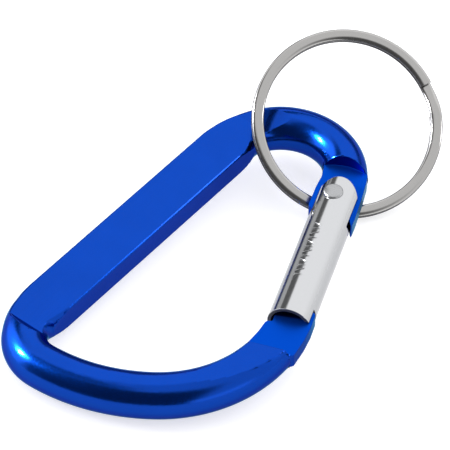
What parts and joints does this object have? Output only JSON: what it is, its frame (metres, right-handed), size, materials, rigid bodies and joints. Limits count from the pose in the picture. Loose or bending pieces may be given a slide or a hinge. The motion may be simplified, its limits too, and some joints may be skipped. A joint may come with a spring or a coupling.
{
  "type": "carabiner keyring",
  "caption": "D-shaped snap clip bent from anodised rod, with a spring-closed gate across its open side and a flat-wire split ring threaded on its narrow end.",
  "frame": {"origin": "centre of the bounding box in plan, at its lowest level", "axes": "+Y along the spine from the wide end towards the narrow end and the ring, +X from the spine towards the gate, +Z square to the body's flat, up"},
  "size_m": [0.0394, 0.0851, 0.0175],
  "materials": {
    "body_blue": "blue anodised, satin with bright highlights",
    "gate_bright": "polished bright",
    "rivet_steel": "nickel plated, peened",
    "plunger_steel": "turned",
    "spring_steel": "drawn wire",
    "ring_nickel": "nickel plated flat wire"
  },
  "bodies": {
    "clip_body": {"body": "body_blue"},
    "gate_arm": {"gate": "gate_bright", "pivot_rivet": "rivet_steel", "gate_spring": "spring_steel"},
    "spring_pin": {"plunger": "plunger_steel"},
    "key_ring": {"split_ring": "ring_nickel"}
  },
  "joints": [
    {"name": "gate_hinge", "type": "hinge", "parent": "clip_body", "child": "gate_arm", "pos_m": [0.00517, 0.01386, 0.00618], "axis": [0, 0, -1], "range_deg": [0, 30], "stiffness_Nm_per_rad": 0.095, "springref_deg": -18.11},
    {"name": "plunger_slide", "type": "slide", "parent": "gate_arm", "child": "spring_pin", "axis": [0.3665, -0.9304, 0], "range_m": [0, 0.001], "deforming": ["gate_spring"]},
    {"name": "ring_swing", "type": "hinge", "parent": "clip_body", "child": "key_ring", "pos_m": [-0.00544, 0.01498, 0.00663], "axis": [0.8693, 0.2211, -0.4421], "range_deg": [0, 90]}
  ],
  "couplings": [
    {"joint": "plunger_slide", "follows": "gate_hinge", "m_per_rad": 0.00151}
  ]
}
